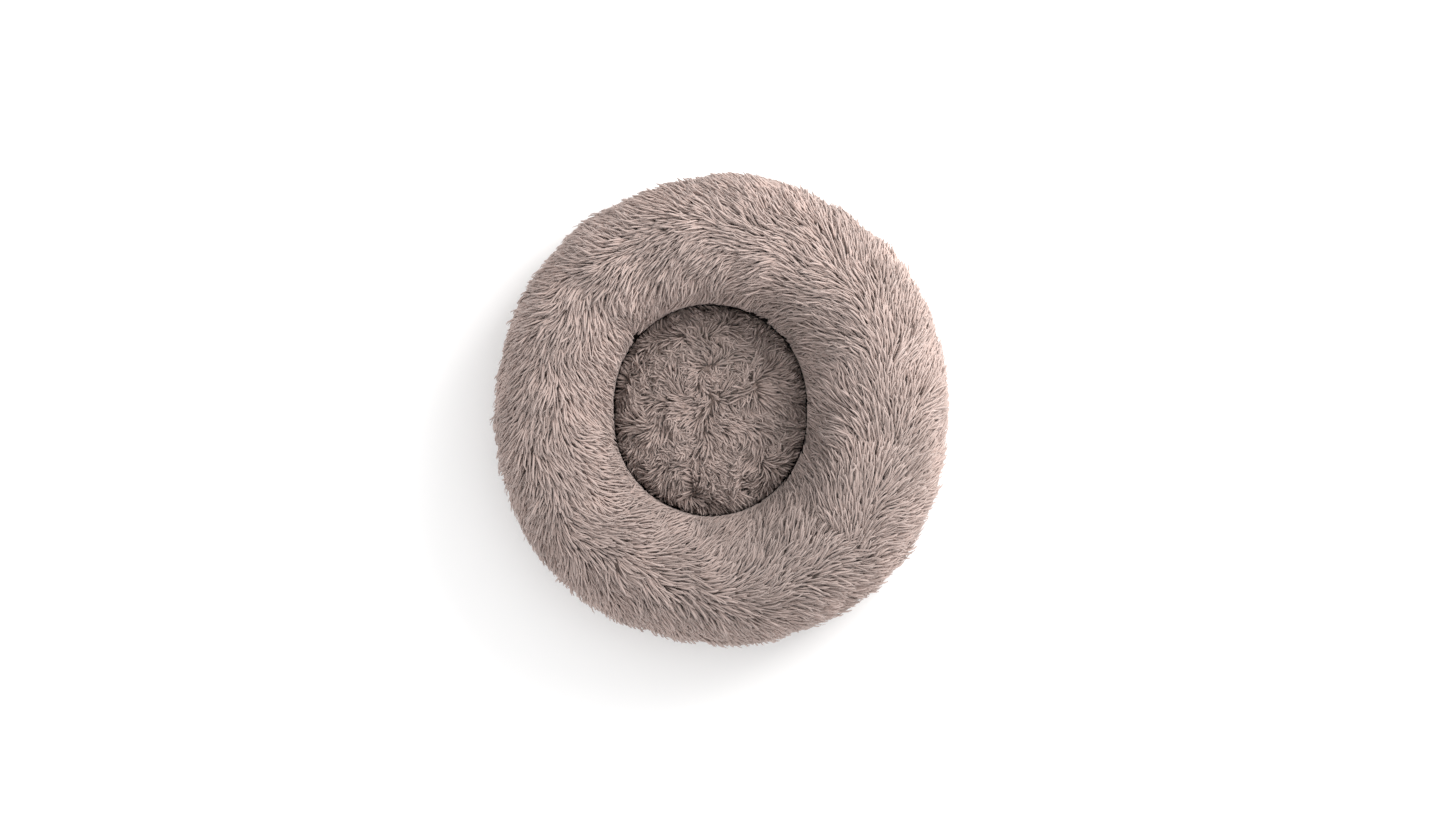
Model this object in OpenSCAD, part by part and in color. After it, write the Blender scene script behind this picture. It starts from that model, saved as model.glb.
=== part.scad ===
// Round plush pet bed: a stuffed bolster ring sewn to a base panel, a loose cushion in its well,
// and a zip in the base. Frame: origin on the floor at the middle of the outline,
// +Z up, +Y along the longer side. Millimetres.

/* [Bed] */
// overall width over the pile, along X
bed_w = 576; // [500:4:720]
// how much longer than wide the bed is, along Y
stretch = 24; // [8:2:60]
// overall height over the pile
bed_h = 180; // [150:5:220]
// rounding of the ring's crown
crown_r = 72; // [50:1:86]
// rounding where the ring turns under to the base
foot_r = 40; // [30:1:50]

/* [Well] */
// width of the well the pet lies in, between the pile on both sides
well_w = 244; // [200:2:296]
// how far the well sits to the left of the middle
well_shift = 15; // [2:1:24]
// rounding at the bottom of the well's wall
well_foot_r = 25; // [18:1:32]

/* [Layers] */
// plush cover, cloth and lying pile together
cover_t = 12; // [8:0.5:15]
// inner bag that holds the stuffing
liner_t = 2; // [1:0.5:3]
// base panel
base_t = 2; // [1.5:0.5:4]
// height of the grip dots
dot_h = 1; // [0.8:0.1:1.4]
// radius of one grip dot
dot_r = 5; // [3:0.5:8]
// spacing of the grip dots
dot_pitch = 66; // [50:1:90]

/* [Cushion] */
// height of the loose cushion
cushion_h = 66; // [50:1:80]
// gap all round between the cushion and the ring
cushion_gap = 3; // [2:0.5:8]
// rounding of the cushion's upper edge
cushion_top_r = 28; // [18:1:34]
// rounding of the cushion's lower edge
cushion_foot_r = 18; // [12:1:20]
// height of the seam between the cushion's plush and its plain back
cushion_seam = 22; // [20:1:26]
// plush thickness on the cushion
cushion_cover_t = 10; // [6:0.5:11]

/* [Zip] */
// length of the zip's coil
zip_len = 200; // [120:5:210]
// distance of the zip from the middle, towards the back
zip_y = 200; // [190:1:206]
// width of the recess that the zip lies in
zip_slot_w = 24; // [20:1:26]
// travel of the slider
zip_travel = 170; // [80:5:180]

/* [Hidden] */
$fn = 96;
eps = 0.01;
gap = 0.5;
z_base = dot_h;
z_in = z_base + base_t;
well_r = well_w / 2;
out_r = bed_w / 2;
narrow = out_r - well_shift - well_r;
crown = min(crown_r, narrow / 2 - 2, bed_h - z_base - foot_r - 8);
off_liner = cover_t + gap;
off_lined = off_liner + liner_t;
off_fill = off_lined + gap;
cush_r = well_r - cushion_gap;
cush_z1 = z_in + cushion_h;
zip_x = zip_len / 2;
pull_l = 20;
slot_x = zip_x + pull_l + 5;
panel_r = out_r - foot_r + 8;
tape_z = z_in + 6;
tape_t = 0.6;
coil_h = 2.4;
coil_w = 2.7;
coil_z = tape_z - coil_h;
gusset_t = 2;
slide_c = 0.3;
slider_l = 9;
slider_x = zip_x - slider_l / 2 - 0.5;
plate_t = 1.3;
plate_z = coil_z - slide_c - plate_t;
bar_r = 0.6;
pull_z = plate_z - bar_r - 0.35;
seam_angle = 134.5;
pitch = 2.5;
teeth = floor(zip_len / pitch);
label_a = 30;
back_t = 1.5;
off_back = cushion_cover_t - back_t;
seam_z = z_in + cushion_seam;

// ---------- sections, X is the radius and Y the height ----------

// right half of the section of a thick disc with rounded rims
module disc_section(r, z0, z1, top, foot) {
    translate([0, z0]) square([r - foot, foot + 2]);
    translate([0, z0 + foot]) square([r, z1 - z0 - top - foot]);
    translate([0, z1 - top - 2]) square([r - top, top + 2]);
    translate([r - top, z1 - top]) circle(top);
    translate([r - foot, z0 + foot]) circle(foot);
}

// right half of the section of the plug that leaves the well in that disc
module plug_section(r, z0, z1, top, foot) {
    difference() {
        translate([0, z0 - 4]) square([r + top - 1, z1 - z0 + 8]);
        translate([r, z0 + foot]) square([top + 6, z1 - z0 - top - foot]);
        translate([r + foot, z0 - 5]) square([top + 6, foot + 8]);
        translate([r + top, z1 - top + 0.8]) circle(top);
        translate([r + foot, z0 + foot - 0.4]) circle(foot);
    }
}

// sweeps a section round an outline with straight sides of the given length
module sweep_outline(len) {
    translate([0, len / 2, 0]) rotate_extrude(angle = 180) children();
    translate([0, -len / 2, 0]) rotate([0, 0, 180]) rotate_extrude(angle = 180) children();
    translate([0, len / 2, 0]) rotate([90, 0, 0]) linear_extrude(len) {
        children();
        mirror([1, 0]) children();
    }
}

// the ring as a solid, all its faces moved in by d, standing on z0
module ring_body(d, z0) {
    foot_out = max(foot_r - d, 4);
    foot_in = max(well_foot_r - d, 4);
    difference() {
        sweep_outline(stretch) disc_section(out_r - d, z0, bed_h - d, crown - d, foot_out);
        translate([-well_shift, 0, 0]) sweep_outline(stretch)
            plug_section(well_r + d, z0, bed_h - d, crown - d, foot_in);
    }
}

// room for the zip's recess in what lies on the base
module zip_room(grow) {
    translate([-slot_x - gusset_t - grow, zip_y - zip_slot_w / 2 - gusset_t - grow, 0])
        cube([2 * (slot_x + gusset_t + grow), zip_slot_w + 2 * (gusset_t + grow), tape_z + tape_t + 1 + grow]);
}

// ---------- bolster ----------

module cover_shell() {
    difference() {
        ring_body(0, z_base);
        ring_body(cover_t, z_in - 0.4);
        translate([-out_r, -bed_w, -5]) cube([bed_w, 2 * bed_w, z_in + 5]);
    }
}

module bolster_cover_left() {
    color([0.66, 0.59, 0.57]) intersection() {
        cover_shell();
        translate([-well_shift, 0, 0]) rotate([0, 0, seam_angle])
            translate([-bed_w, 0, 0]) cube([2 * bed_w, bed_w, bed_h + 10]);
    }
}

module bolster_cover_right() {
    color([0.68, 0.61, 0.58]) intersection() {
        cover_shell();
        translate([-well_shift, 0, 0]) rotate([0, 0, seam_angle])
            translate([-bed_w, -bed_w, 0]) cube([2 * bed_w, bed_w, bed_h + 10]);
    }
}

module bolster_liner() {
    color([0.93, 0.93, 0.92]) difference() {
        ring_body(off_liner, z_in);
        ring_body(off_lined, z_in + liner_t);
        zip_room(0);
    }
}

module bolster_fill() {
    color([0.97, 0.97, 0.96]) difference() {
        ring_body(off_fill, z_in + liner_t);
        zip_room(liner_t + gap);
    }
}

// ---------- base ----------

// flat slab with the bed's outline
module slab(r, z0, t) {
    translate([0, 0, z0]) linear_extrude(t) {
        translate([0, stretch / 2]) circle(r);
        translate([0, -stretch / 2]) circle(r);
        translate([-r, -stretch / 2]) square([2 * r, stretch]);
    }
}

module base_panel() {
    color([0.45, 0.41, 0.40]) difference() {
        slab(panel_r, z_base, base_t);
        translate([-slot_x, zip_y - zip_slot_w / 2, -1]) cube([2 * slot_x, zip_slot_w, z_in + 2]);
    }
}

// true where a grip dot has free panel round it
function dot_fits(x, y) =
    norm([x, max(abs(y) - stretch / 2, 0)]) < panel_r - 2.6 * dot_r &&
    !(abs(x) < slot_x + 2 * dot_r && abs(y - zip_y) < zip_slot_w / 2 + 2 * dot_r) &&
    norm([x - 255 * cos(label_a), y - 255 * sin(label_a)]) > 34;

module grip_dots() {
    row_h = dot_pitch * 0.8660254;
    color([0.20, 0.19, 0.19])
    for (j = [-6:6]) for (i = [-6:6]) {
        x = dot_pitch * (i + (j % 2 == 0 ? 0 : 0.5));
        y = row_h * j;
        if (dot_fits(x, y)) translate([x, y, 0]) cylinder(r = dot_r, h = dot_h);
    }
}

module care_label() {
    color([0.95, 0.95, 0.93]) rotate([0, 0, label_a])
        translate([panel_r - 17, -11, dot_h - 0.4]) cube([34, 22, 0.4]);
}

// ---------- zip ----------

module zip_gusset() {
    color([0.42, 0.38, 0.37]) difference() {
        translate([-slot_x - gusset_t, zip_y - zip_slot_w / 2 - gusset_t, z_in])
            cube([2 * (slot_x + gusset_t), zip_slot_w + 2 * gusset_t, tape_z - z_in]);
        translate([-slot_x, zip_y - zip_slot_w / 2, z_in - 1])
            cube([2 * slot_x, zip_slot_w, tape_z - z_in + 2]);
    }
}

module zip_tape() {
    translate([-slot_x - gusset_t, 0.6, tape_z])
        cube([2 * (slot_x + gusset_t), zip_slot_w / 2 + gusset_t - 0.6, tape_t]);
}

module zip_tape_front() {
    color([0.30, 0.28, 0.27]) translate([0, zip_y, 0]) mirror([0, 1, 0]) zip_tape();
}

module zip_tape_rear() {
    color([0.30, 0.28, 0.27]) translate([0, zip_y, 0]) zip_tape();
}

// one row of the coil: a spine with loops that reach between the other row's
module coil_row(shift) {
    points = concat(
        [[-zip_x, coil_w], [-zip_x, 1]],
        [for (k = [0:teeth - 1]) for (q = [0:3])
            [-zip_x + k * pitch + shift + (q < 2 ? 0 : 1), (q == 0 || q == 3) ? 1 : -0.85]],
        [[zip_x, 1], [zip_x, coil_w]]
    );
    translate([0, 0, coil_z]) linear_extrude(coil_h) polygon(points);
}

module zip_coil_front() {
    color([0.22, 0.21, 0.20]) translate([0, zip_y, 0]) mirror([0, 1, 0]) coil_row(0.125);
}

module zip_coil_rear() {
    color([0.22, 0.21, 0.20]) translate([0, zip_y, 0]) coil_row(0.125 + pitch / 2);
}

module zip_stops() {
    color([0.62, 0.62, 0.62])
    for (s = [-1, 1]) translate([s * (zip_x + 1.5) - 1.5, zip_y - coil_w, coil_z])
        cube([3, 2 * coil_w, coil_h]);
}

module zip_slider() {
    lip = 1.4;
    half = coil_w + slide_c + lip;
    arch_z = pull_z - bar_r - 0.35;
    color([0.62, 0.62, 0.62]) translate([slider_x, zip_y, 0]) {
        translate([-slider_l / 2, -half, plate_z]) cube([slider_l, 2 * half, plate_t]);
        for (s = [-1, 1]) translate([-slider_l / 2, s * (half - lip / 2) - lip / 2, plate_z])
            cube([slider_l, lip, tape_z - slide_c - plate_z]);
        for (s = [-1, 1]) translate([s * 3 - 0.6, -0.9, arch_z - 1]) cube([1.2, 1.8, plate_z - arch_z + 1.2]);
        translate([-3.6, -0.9, arch_z - 1]) cube([7.2, 1.8, 1]);
    }
}

module zip_pull() {
    color([0.66, 0.66, 0.66]) translate([slider_x, zip_y, pull_z]) {
        difference() {
            union() {
                translate([-pull_l + 3.5, -3.5, -0.5]) cube([pull_l - 3.5, 7, 1]);
                translate([-pull_l + 3.5, 0, -0.5]) cylinder(r = 3.5, h = 1);
            }
            translate([-5.2, -1.3, -1]) cube([4.6, 2.6, 2]);
            translate([-0.7, -1.3, -1]) cube([2, 2.6, 2]);
            translate([-pull_l + 3.5, 0, -1]) cylinder(r = 1.4, h = 2);
        }
        translate([0, 3.5, 0]) rotate([90, 0, 0]) cylinder(r = bar_r, h = 7);
    }
}

// ---------- cushion ----------

// the cushion's solid shape, its faces moved in by d, standing on z0
module cushion_body(d, z0) {
    translate([-well_shift, 0, 0]) sweep_outline(stretch)
        disc_section(cush_r - d, z0, cush_z1 - d, cushion_top_r - d, max(cushion_foot_r - d, 3));
}

// everything below a height
module below(z) {
    translate([-out_r, -bed_w, -5]) cube([bed_w, 2 * bed_w, z + 5]);
}

module cushion_cover() {
    color([0.58, 0.52, 0.50]) difference() {
        cushion_body(0, z_in);
        cushion_body(cushion_cover_t, z_in + 2);
        below(seam_z);
    }
}

module cushion_back() {
    color([0.50, 0.46, 0.44]) intersection() {
        difference() {
            cushion_body(off_back, z_in);
            cushion_body(cushion_cover_t, z_in + back_t);
        }
        below(seam_z);
    }
}

module cushion_liner() {
    color([0.93, 0.93, 0.92]) difference() {
        cushion_body(cushion_cover_t + gap, z_in + back_t);
        cushion_body(cushion_cover_t + gap + 1.5, z_in + back_t + 1.5);
    }
}

module cushion_fill() {
    color([0.97, 0.97, 0.96]) cushion_body(cushion_cover_t + 2.5, z_in + back_t + 1.5);
}

bolster_cover_left();
bolster_cover_right();
bolster_liner();
bolster_fill();
base_panel();
grip_dots();
care_label();
zip_gusset();
zip_tape_front();
zip_tape_rear();
zip_coil_front();
zip_coil_rear();
zip_stops();
zip_slider();
zip_pull();
cushion_cover();
cushion_back();
cushion_liner();
cushion_fill();
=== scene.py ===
"""Round long-pile plush pet bed: a stuffed ring, a loose cushion in its well and a zipped base.

Everything is in metres in the part's own frame. The floor is z = 0, +Z is up and +Y runs along
the bed's longer side. Each sub-assembly is a class that builds its pieces and dresses them.
"""

import logging
import math
from dataclasses import dataclass, field
from enum import Enum
from typing import Any, Callable, Iterable, Sequence

import bpy
import numpy as np
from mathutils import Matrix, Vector


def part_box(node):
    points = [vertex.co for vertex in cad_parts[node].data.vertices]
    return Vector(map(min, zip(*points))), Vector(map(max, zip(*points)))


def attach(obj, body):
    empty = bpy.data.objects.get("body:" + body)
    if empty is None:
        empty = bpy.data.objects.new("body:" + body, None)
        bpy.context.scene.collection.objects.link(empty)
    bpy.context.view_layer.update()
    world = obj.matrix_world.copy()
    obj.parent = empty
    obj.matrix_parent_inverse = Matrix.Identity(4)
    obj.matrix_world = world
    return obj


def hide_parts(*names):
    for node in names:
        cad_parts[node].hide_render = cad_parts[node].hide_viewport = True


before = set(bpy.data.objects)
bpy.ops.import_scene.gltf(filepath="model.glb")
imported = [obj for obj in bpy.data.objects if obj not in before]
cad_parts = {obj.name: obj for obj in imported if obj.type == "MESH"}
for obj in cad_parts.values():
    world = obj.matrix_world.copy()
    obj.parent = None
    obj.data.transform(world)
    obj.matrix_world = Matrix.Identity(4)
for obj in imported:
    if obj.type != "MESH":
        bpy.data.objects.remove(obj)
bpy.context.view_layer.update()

LOG = logging.getLogger("pet_bed")
MM = 0.001
TAU = 2 * math.pi
Array = np.ndarray
Colour = tuple[float, float, float]
PRESS_BACK = 0.97  # how much of its overhang a tip loses where it is pressed against a wall


class Body(str, Enum):
    """The part's rigid bodies."""

    BOLSTER = "bolster"
    CUSHION = "cushion"
    SLIDER = "zip_slider"
    PULL = "zip_pull"


# ---------------------------------------------------------------- modelling helpers


class Bench:
    """Modelling operators, each kept to the one object it is meant for."""

    @staticmethod
    def clear() -> None:
        """Leaves edit mode and deselects everything, carried-over nodes included."""
        active = bpy.context.view_layer.objects.active
        if active is not None and active.mode != "OBJECT":
            bpy.ops.object.mode_set(mode="OBJECT")
        bpy.ops.object.select_all(action="DESELECT")

    @staticmethod
    def pick(obj: bpy.types.Object) -> None:
        """Selects one object alone and makes it active.

        Args:
            obj: the object to select.
        """
        Bench.clear()
        obj.select_set(True)
        bpy.context.view_layer.objects.active = obj

    @staticmethod
    def take(name: str) -> bpy.types.Object:
        """Names the primitive that was just added and returns it.

        Args:
            name: the name for the object and its mesh.

        Returns:
            The new object.
        """
        obj = bpy.context.active_object
        obj.name = obj.data.name = name
        return obj

    @staticmethod
    def edit(obj: bpy.types.Object) -> None:
        """Opens an object in edit mode, in face selection.

        Args:
            obj: the mesh object.
        """
        Bench.pick(obj)
        bpy.ops.object.mode_set(mode="EDIT")
        bpy.context.tool_settings.mesh_select_mode = (False, False, True)

    @staticmethod
    def done() -> None:
        """Closes edit mode."""
        bpy.ops.object.mode_set(mode="OBJECT")

    @staticmethod
    def trim(obj: bpy.types.Object, point: Vector, outward: Vector) -> None:
        """Cuts away what lies on the outward side of a plane.

        Args:
            obj: the mesh object to cut.
            point: a point of the plane.
            outward: the plane's normal, towards the side that goes.
        """
        Bench.edit(obj)
        bpy.ops.mesh.select_all(action="SELECT")
        bpy.ops.mesh.bisect(plane_co=point, plane_no=outward, clear_outer=True)
        Bench.done()

    @staticmethod
    def tidy(obj: bpy.types.Object, distance: float = 0.00005) -> None:
        """Merges doubles, then turns all faces outward.

        Args:
            obj: the mesh object.
            distance: how close two vertices lie to become one, in metres.
        """
        Bench.edit(obj)
        bpy.ops.mesh.select_all(action="SELECT")
        bpy.ops.mesh.remove_doubles(threshold=distance)
        bpy.ops.mesh.normals_make_consistent(inside=False)
        Bench.done()

    @staticmethod
    def order_faces(obj: bpy.types.Object) -> None:
        """Puts the faces in one fixed order.

        A new sphere's faces come in an order that changes from run to run, and the cloth
        simulation gives another shape for each.

        Args:
            obj: the mesh object, before anything is stored on its faces.
        """
        mesh = obj.data
        spots = [tuple(vertex.co) for vertex in mesh.vertices]
        faces = []
        for face in mesh.polygons:
            ring = tuple(face.vertices)
            first = ring.index(min(ring))
            faces.append(ring[first:] + ring[:first])
        mesh.clear_geometry()
        mesh.from_pydata(spots, [], sorted(faces))
        mesh.update()

    @staticmethod
    def apply(obj: bpy.types.Object, kind: str, **settings: Any) -> None:
        """Adds a modifier with its settings and applies it at once.

        Args:
            obj: the mesh object.
            kind: the modifier's type.
            settings: the modifier's properties by name.
        """
        modifier = obj.modifiers.new(kind.lower(), kind)
        for key, value in settings.items():
            setattr(modifier, key, value)
        Bench.pick(obj)
        bpy.ops.object.modifier_apply(modifier=modifier.name)

    @staticmethod
    def settle(obj: bpy.types.Object) -> None:
        """Moves an object's place, turn and scale into its mesh."""
        Bench.pick(obj)
        bpy.ops.object.transform_apply(location=True, rotation=True, scale=True)

    @staticmethod
    def copy(obj: bpy.types.Object, name: str) -> bpy.types.Object:
        """Copies an object with a mesh of its own.

        Args:
            obj: the object to copy.
            name: the copy's name.

        Returns:
            The copy.
        """
        twin = obj.copy()
        twin.data = obj.data.copy()
        twin.name = twin.data.name = name
        twin.parent = None
        bpy.context.scene.collection.objects.link(twin)
        return twin

    @staticmethod
    def smooth(obj: bpy.types.Object) -> None:
        """Shades an object smooth all over."""
        obj.data.polygons.foreach_set("use_smooth", np.ones(len(obj.data.polygons), bool))
        obj.data.update()

    @staticmethod
    def link(name: str, data: bpy.types.ID) -> bpy.types.Object:
        """Makes an object of ready data and puts it in the scene.

        Args:
            name: the new object's name.
            data: its mesh, light or camera.

        Returns:
            The new object.
        """
        obj = bpy.data.objects.new(name, data)
        bpy.context.scene.collection.objects.link(obj)
        return obj

    @staticmethod
    def ring(name: str, around: int, across: int,
             thickness: float) -> tuple[bpy.types.Object, Array, Array]:
        """Adds a plain ring to shape, with its angles.

        Args:
            name: the ring's name.
            around: steps round the ring.
            across: steps round its section.
            thickness: the section's radius, for a ring of radius 1.

        Returns:
            The object, and each vertex's angle round the ring and round the section.
        """
        Bench.clear()
        bpy.ops.mesh.primitive_torus_add(major_segments=around, minor_segments=across,
                                         major_radius=1.0, minor_radius=thickness)
        ring = Bench.take(name)
        spot = points_of(ring)
        turn = np.arctan2(spot[:, 1], spot[:, 0])
        lap = np.arctan2(spot[:, 2], np.hypot(spot[:, 0], spot[:, 1]) - 1)
        return ring, turn, lap

    @staticmethod
    def discard(obj: bpy.types.Object) -> None:
        """Removes an object and its mesh.

        Args:
            obj: the mesh object.
        """
        mesh = obj.data
        bpy.data.objects.remove(obj)
        bpy.data.meshes.remove(mesh)


def points_of(obj: bpy.types.Object) -> Array:
    """The vertex places of a mesh object.

    Args:
        obj: the mesh object.

    Returns:
        One row of x, y and z for each vertex.
    """
    flat = np.zeros(len(obj.data.vertices) * 3, np.float32)
    obj.data.vertices.foreach_get("co", flat)
    return flat.reshape(-1, 3).astype(float)


def move_points(obj: bpy.types.Object, points: Array) -> None:
    """Puts a mesh object's vertices at new places."""
    obj.data.vertices.foreach_set("co", np.ascontiguousarray(points, np.float32).ravel())
    obj.data.update()


def normals_of(obj: bpy.types.Object) -> Array:
    """The vertex normals of a mesh object.

    Args:
        obj: the mesh object.

    Returns:
        One row of x, y and z for each vertex.
    """
    flat = np.zeros(len(obj.data.vertices) * 3, np.float32)
    obj.data.vertex_normals.foreach_get("vector", flat)
    return flat.reshape(-1, 3).astype(float)


def unit(rows: Array) -> Array:
    """Each row scaled to length one."""
    return rows / np.maximum(np.linalg.norm(rows, axis=-1, keepdims=True), 1e-12)


def smoothstep(low: float, high: float, value: Array) -> Array:
    """0 below low, 1 above high and smooth between; low may be above high."""
    t = np.clip((value - low) / (high - low), 0, 1)
    return t * t * (3 - 2 * t)


def signed_power(value: Array, power: Array | float) -> Array:
    """A power of each value's size, with its sign kept."""
    return np.sign(value) * np.abs(value) ** power


def bell(value: Array, width: float) -> Array:
    """1 at zero, falling away smoothly over a width on both sides."""
    return np.exp(-(value / width) ** 2)


def dot(first: Array, second: Array) -> Array:
    """The inner product of each pair of rows."""
    return (first * second).sum(axis=1)


def along_surface(way: Array, normal: Array) -> Array:
    """Each direction laid flat on the surface, at length one."""
    return unit(way - normal * (way * normal).sum(axis=1, keepdims=True))


def degrees_from(bearing: Array, middle: float) -> Array:
    """How far each bearing lies from a middle one, from -180 to 180."""
    return (bearing - middle + 180) % 360 - 180


class Waver:
    """Smooth repeatable noise: a sum of sine waves through space, about 1 in spread."""

    def __init__(self, seed: int, wavelength: float, waves: int = 16) -> None:
        """Draws the waves.

        Args:
            seed: seed of the draw.
            wavelength: the usual distance from crest to crest, in metres.
            waves: how many waves are summed.
        """
        rng = np.random.default_rng(seed)
        heading = unit(rng.normal(size=(waves, 3)))
        self.wave = heading * (TAU / (wavelength * rng.uniform(0.7, 1.6, waves)))[:, None]
        self.phase = rng.uniform(0, TAU, waves)
        self.gain = math.sqrt(2 / waves)

    def __call__(self, points: Array) -> Array:
        """The noise at each point."""
        return self.gain * np.sin(points @ self.wave.T + self.phase).sum(axis=1)


@dataclass(frozen=True)
class Ripple:
    """Waviness of one size, the same on every run."""

    seed: int
    wavelength: float
    height: float

    def at(self, points: Array) -> Array:
        """The waviness at each point."""
        return self.height * Waver(self.seed, self.wavelength)(points)


def ripples_at(ripples: Sequence[Ripple], points: Array) -> Array:
    """The sum of several ripples at each point."""
    return sum(ripple.at(points) for ripple in ripples)


# ---------------------------------------------------------------- finishes


class Shader:
    """A material's node tree with short ways to add and join nodes."""

    def __init__(self, name: str) -> None:
        """Starts an empty material with a Principled shader and an output.

        Args:
            name: the material's name.
        """
        self.material = bpy.data.materials.new(name)
        self.material.use_nodes = True
        self.tree = self.material.node_tree
        self.tree.nodes.clear()
        self.surface = self.node("ShaderNodeBsdfPrincipled")
        output = self.node("ShaderNodeOutputMaterial")
        self.join(self.surface.outputs["BSDF"], output.inputs["Surface"])

    def node(self, kind: str, **inputs: Any) -> bpy.types.Node:
        """Adds a node with its inputs and attributes set.

        Args:
            kind: the node's type.
            inputs: values by the name of an input or attribute, spaces as underscores.

        Returns:
            The new node.
        """
        made = self.tree.nodes.new(kind)
        for key, value in inputs.items():
            label = key.replace("_", " ")
            if label in made.inputs:
                made.inputs[label].default_value = value
            elif label.title() in made.inputs:
                made.inputs[label.title()].default_value = value
            else:
                setattr(made, key, value)
        return made

    def join(self, source: bpy.types.NodeSocket, target: bpy.types.NodeSocket) -> None:
        """Links two sockets."""
        self.tree.links.new(source, target)

    def set(self, **values: Any) -> None:
        """Sets the shader's own sockets, such as roughness or sheen_weight."""
        for key, value in values.items():
            socket = key.replace("_", " ").title().replace("Ior", "IOR")
            self.surface.inputs[socket].default_value = value

    def place(self) -> bpy.types.NodeSocket:
        """The point on the surface, in the piece's own coordinates."""
        return self.node("ShaderNodeTexCoord").outputs["Object"]

    def attribute(self, name: str) -> bpy.types.NodeSocket:
        """A value stored on the mesh."""
        return self.node("ShaderNodeAttribute", attribute_name=name).outputs["Fac"]

    def noise(self, where: bpy.types.NodeSocket, scale: float, detail: float = 2.0,
              roughness: float = 0.5) -> bpy.types.NodeSocket:
        """Noise over the surface, from 0 to 1.

        Args:
            where: the coordinates that it reads.
            scale: how fine it is, per metre.
            detail: how many finer layers it has.
            roughness: how strong the finer layers are.

        Returns:
            The noise's value.
        """
        made = self.node("ShaderNodeTexNoise", scale=scale, detail=detail, roughness=roughness)
        self.join(where, made.inputs["Vector"])
        return made.outputs["Fac"]

    def math(self, operation: str, a: Any, b: Any = 0.0) -> bpy.types.NodeSocket:
        """Arithmetic on sockets or plain numbers.

        Args:
            operation: the sum to do.
            a: the first value.
            b: the second value.

        Returns:
            The result.
        """
        made = self.node("ShaderNodeMath", operation=operation)
        for socket, value in zip(made.inputs, (a, b)):
            if isinstance(value, bpy.types.NodeSocket):
                self.join(value, socket)
            else:
                socket.default_value = value
        return made.outputs[0]

    def spread(self, value: bpy.types.NodeSocket, low: float, high: float) -> bpy.types.NodeSocket:
        """Takes a value that runs from 0 to 1 to another range.

        Args:
            value: the value to take.
            low: what 0 becomes.
            high: what 1 becomes.

        Returns:
            The value in its new range.
        """
        made = self.node("ShaderNodeMapRange")
        made.inputs["To Min"].default_value = low
        made.inputs["To Max"].default_value = high
        self.join(value, made.inputs["Value"])
        return made.outputs["Result"]

    def ramp(self, value: bpy.types.NodeSocket,
             stops: Sequence[tuple[float, Colour]]) -> bpy.types.NodeSocket:
        """A colour ramp through the given stops.

        Args:
            value: where along the ramp to read.
            stops: the place and colour of each stop.

        Returns:
            The colour there.
        """
        made = self.node("ShaderNodeValToRGB")
        elements = made.color_ramp.elements
        while len(elements) < len(stops):
            elements.new(1.0)
        for element, (at, colour) in zip(elements, stops):
            element.position = at
            element.color = (*colour, 1)
        self.join(value, made.inputs["Fac"])
        return made.outputs["Color"]

    def tint(self, colour: Any, factor: bpy.types.NodeSocket) -> bpy.types.NodeSocket:
        """A colour made lighter or darker by a factor.

        Args:
            colour: a plain colour or a socket.
            factor: above 1 to lighten it and under 1 to darken it.

        Returns:
            The scaled colour.
        """
        made = self.node("ShaderNodeVectorMath", operation="SCALE")
        if isinstance(colour, bpy.types.NodeSocket):
            self.join(colour, made.inputs[0])
        else:
            made.inputs[0].default_value = colour
        self.join(factor, made.inputs["Scale"])
        return made.outputs[0]

    def bump(self, height: bpy.types.NodeSocket, strength: float, distance: float) -> None:
        """Roughens the shader's normal by a height.

        Args:
            height: the height over the surface.
            strength: how much of the relief is used.
            distance: the relief's depth, in metres.
        """
        made = self.node("ShaderNodeBump", strength=strength, distance=distance)
        self.join(height, made.inputs["Height"])
        self.join(made.outputs["Normal"], self.surface.inputs["Normal"])

    def colour(self, source: bpy.types.NodeSocket) -> bpy.types.Material:
        """Feeds the base colour and returns the finished material."""
        self.join(source, self.surface.inputs["Base Color"])
        return self.material


@dataclass(frozen=True)
class PileFinish:
    """Long plush pile: dark at the root, pale at the tip, with fibres along each tuft. The darker
    root is painted shade between the tufts.
    """

    name: str
    root: Colour
    middle: Colour
    tip: Colour
    fibre_contrast: float = 0.10
    sheen: float = 0.25

    def material(self) -> bpy.types.Material:
        """Builds the material from the tuft attributes.

        Returns:
            The finished material.
        """
        s = Shader(self.name)
        depth = s.attribute(Pile.DEPTH)
        # Painted shade: the colour darkens towards the root, where the tufts shade each other.
        colour = s.ramp(depth, [(0.0, self.root), (0.42, self.middle), (1.0, self.tip)])
        # The tuft tone scales the colour; on the ring pile it also holds painted shade and painted
        # light.
        colour = s.tint(colour, s.attribute(Pile.TONE))
        fibres = s.node("ShaderNodeTexNoise", noise_dimensions="1D", scale=1.0, detail=3.0,
                        roughness=0.7)
        s.join(s.math("MULTIPLY", s.attribute(Pile.STRAND), 3.1), fibres.inputs["W"])
        streak = s.spread(fibres.outputs["Fac"], 1 - self.fibre_contrast, 1 + self.fibre_contrast)
        crimp = s.spread(s.noise(s.place(), 900.0, 3.0, 0.6), 0.93, 1.07)
        colour = s.tint(s.tint(colour, streak), crimp)
        s.bump(fibres.outputs["Fac"], 0.35, 0.0004)
        s.set(roughness=0.82, sheen_weight=self.sheen, sheen_roughness=0.45,
              specular_ior_level=0.18)
        s.surface.inputs["Sheen Tint"].default_value = (1.0, 0.93, 0.90, 1)
        return s.colour(colour)


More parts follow.
